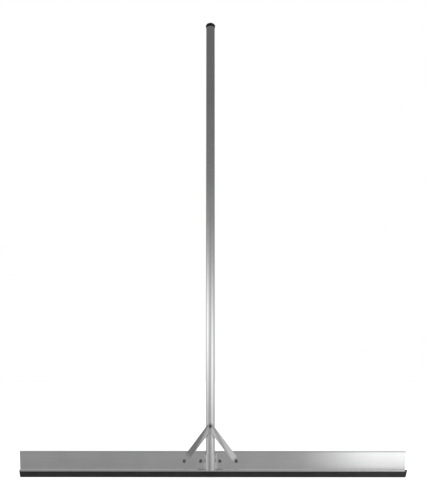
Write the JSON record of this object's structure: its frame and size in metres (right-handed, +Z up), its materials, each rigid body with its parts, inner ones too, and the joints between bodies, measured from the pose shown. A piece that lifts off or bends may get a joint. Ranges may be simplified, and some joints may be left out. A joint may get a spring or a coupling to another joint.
{
  "type": "squeegee float",
  "caption": "Long-handled float with a wide aluminium blade, a rubber lip, a tube handle in a saddle bracket and two brace straps.",
  "frame": {"origin": "middle of the rubber lip's working edge, the lowest flat face", "axes": "+X along the blade, +Z up along the handle, -Y the front, which carries the handle and the brace"},
  "size_m": [1.2073, 0.0556, 1.4738],
  "materials": {
    "blade_aluminium": "satin mill finish",
    "tube_aluminium": "drawn, fairly bright",
    "bracket_metal": "satin, folded strip",
    "fastener_steel": "zinc plated",
    "lip_rubber": "satin black",
    "cap_plastic": "moulded black"
  },
  "bodies": {
    "root": {"blade_profile": "blade_aluminium", "rubber_lip": "lip_rubber", "handle_tube": "tube_aluminium", "handle_end_cap": "cap_plastic", "saddle_bracket": "bracket_metal", "brace_strap_left": "bracket_metal", "brace_strap_right": "bracket_metal", "saddle_left_screw": "fastener_steel", "saddle_left_front_washer": "fastener_steel", "saddle_left_rear_washer": "fastener_steel", "saddle_left_lock_nut": "fastener_steel", "saddle_right_screw": "fastener_steel", "saddle_right_front_washer": "fastener_steel", "saddle_right_rear_washer": "fastener_steel", "saddle_right_lock_nut": "fastener_steel", "brace_left_screw": "fastener_steel", "brace_left_front_washer": "fastener_steel", "brace_left_rear_washer": "fastener_steel", "brace_left_lock_nut": "fastener_steel", "brace_right_screw": "fastener_steel", "brace_right_front_washer": "fastener_steel", "brace_right_rear_washer": "fastener_steel", "brace_right_lock_nut": "fastener_steel", "handle_bolt_screw": "fastener_steel", "handle_bolt_front_washer": "fastener_steel", "handle_bolt_rear_washer": "fastener_steel", "handle_bolt_lock_nut": "fastener_steel"}
  },
  "joints": []
}
